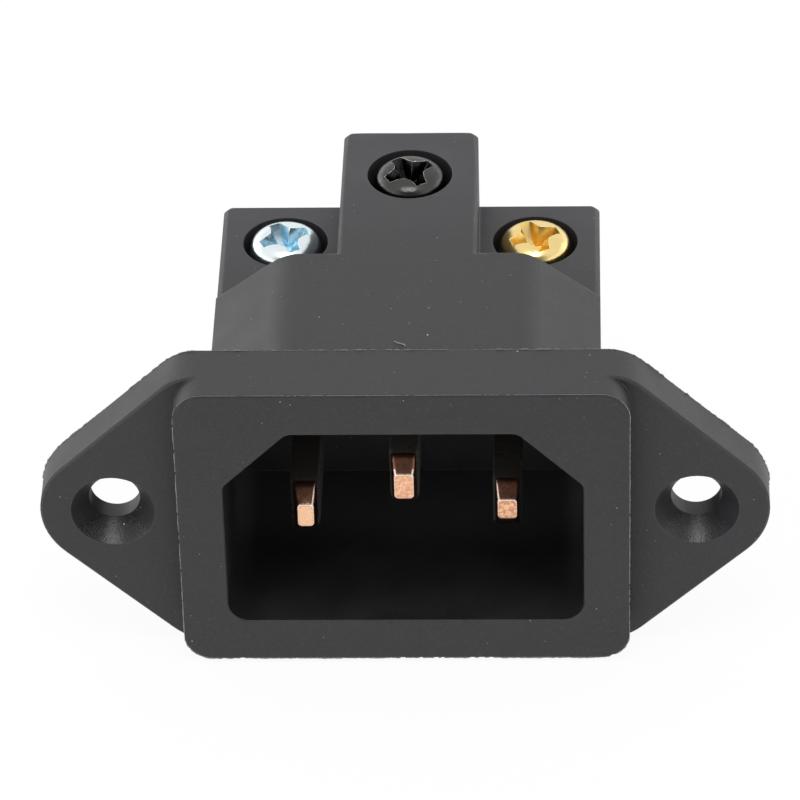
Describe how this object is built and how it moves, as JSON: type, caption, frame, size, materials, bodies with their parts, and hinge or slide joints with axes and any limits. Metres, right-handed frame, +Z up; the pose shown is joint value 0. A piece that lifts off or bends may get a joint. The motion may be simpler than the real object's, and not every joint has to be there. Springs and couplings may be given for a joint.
{
  "type": "iec panel socket",
  "caption": "Black panel power inlet: keyed plug well with copper blade pins, rhomboid countersunk flange, and box-clamp screw terminals reached from the top.",
  "frame": {"origin": "midway between the axes of the two fixing holes, on the flange's rear face that seats on the panel", "axes": "+X to the right seen from the plug side, along the line of the fixing holes; +Y to the back, into the panel; +Z up, towards the earth blade and the terminal screws' heads"},
  "size_m": [0.05, 0.034, 0.0228],
  "materials": {
    "black_plastic": "fine matte moulding",
    "copper": "bare copper, sheared tips",
    "clamp_brass": "bare brass",
    "plate_steel": "plain steel",
    "zinc_steel": "bright blue zinc plating",
    "screw_brass": "bright brass",
    "black_steel": "blackened steel"
  },
  "bodies": {
    "inlet": {"housing": "black_plastic", "neutral_pin": "copper", "live_pin": "copper", "earth_pin": "copper", "neutral_terminal": "clamp_brass", "live_terminal": "clamp_brass", "earth_terminal": "clamp_brass"},
    "neutral_clamp": {"neutral_pressure_plate": "plate_steel"},
    "neutral_fastener": {"neutral_screw": "zinc_steel"},
    "live_clamp": {"live_pressure_plate": "plate_steel"},
    "live_fastener": {"live_screw": "screw_brass"},
    "earth_clamp": {"earth_pressure_plate": "plate_steel"},
    "earth_fastener": {"earth_screw": "black_steel"}
  },
  "joints": [
    {"name": "neutral_press", "type": "slide", "parent": "inlet", "child": "neutral_clamp", "axis": [0, 0, -1], "range_m": [0, 0.0035]},
    {"name": "neutral_turn", "type": "hinge", "parent": "neutral_clamp", "child": "neutral_fastener", "pos_m": [-0.0089, 0.0209, 0], "axis": [0, 0, -1], "range_deg": [0, 2520]},
    {"name": "live_press", "type": "slide", "parent": "inlet", "child": "live_clamp", "axis": [0, 0, -1], "range_m": [0, 0.0035]},
    {"name": "live_turn", "type": "hinge", "parent": "live_clamp", "child": "live_fastener", "pos_m": [0.0089, 0.0209, 0], "axis": [0, 0, -1], "range_deg": [0, 2520]},
    {"name": "earth_press", "type": "slide", "parent": "inlet", "child": "earth_clamp", "axis": [0, 0, -1], "range_m": [0, 0.0035]},
    {"name": "earth_turn", "type": "hinge", "parent": "earth_clamp", "child": "earth_fastener", "pos_m": [0, 0.0233, 0], "axis": [0, 0, -1], "range_deg": [0, 2520]}
  ],
  "couplings": [
    {"joint": "neutral_turn", "follows": "neutral_press", "rad_per_m": 12566},
    {"joint": "live_turn", "follows": "live_press", "rad_per_m": 12566},
    {"joint": "earth_turn", "follows": "earth_press", "rad_per_m": 12566}
  ]
}
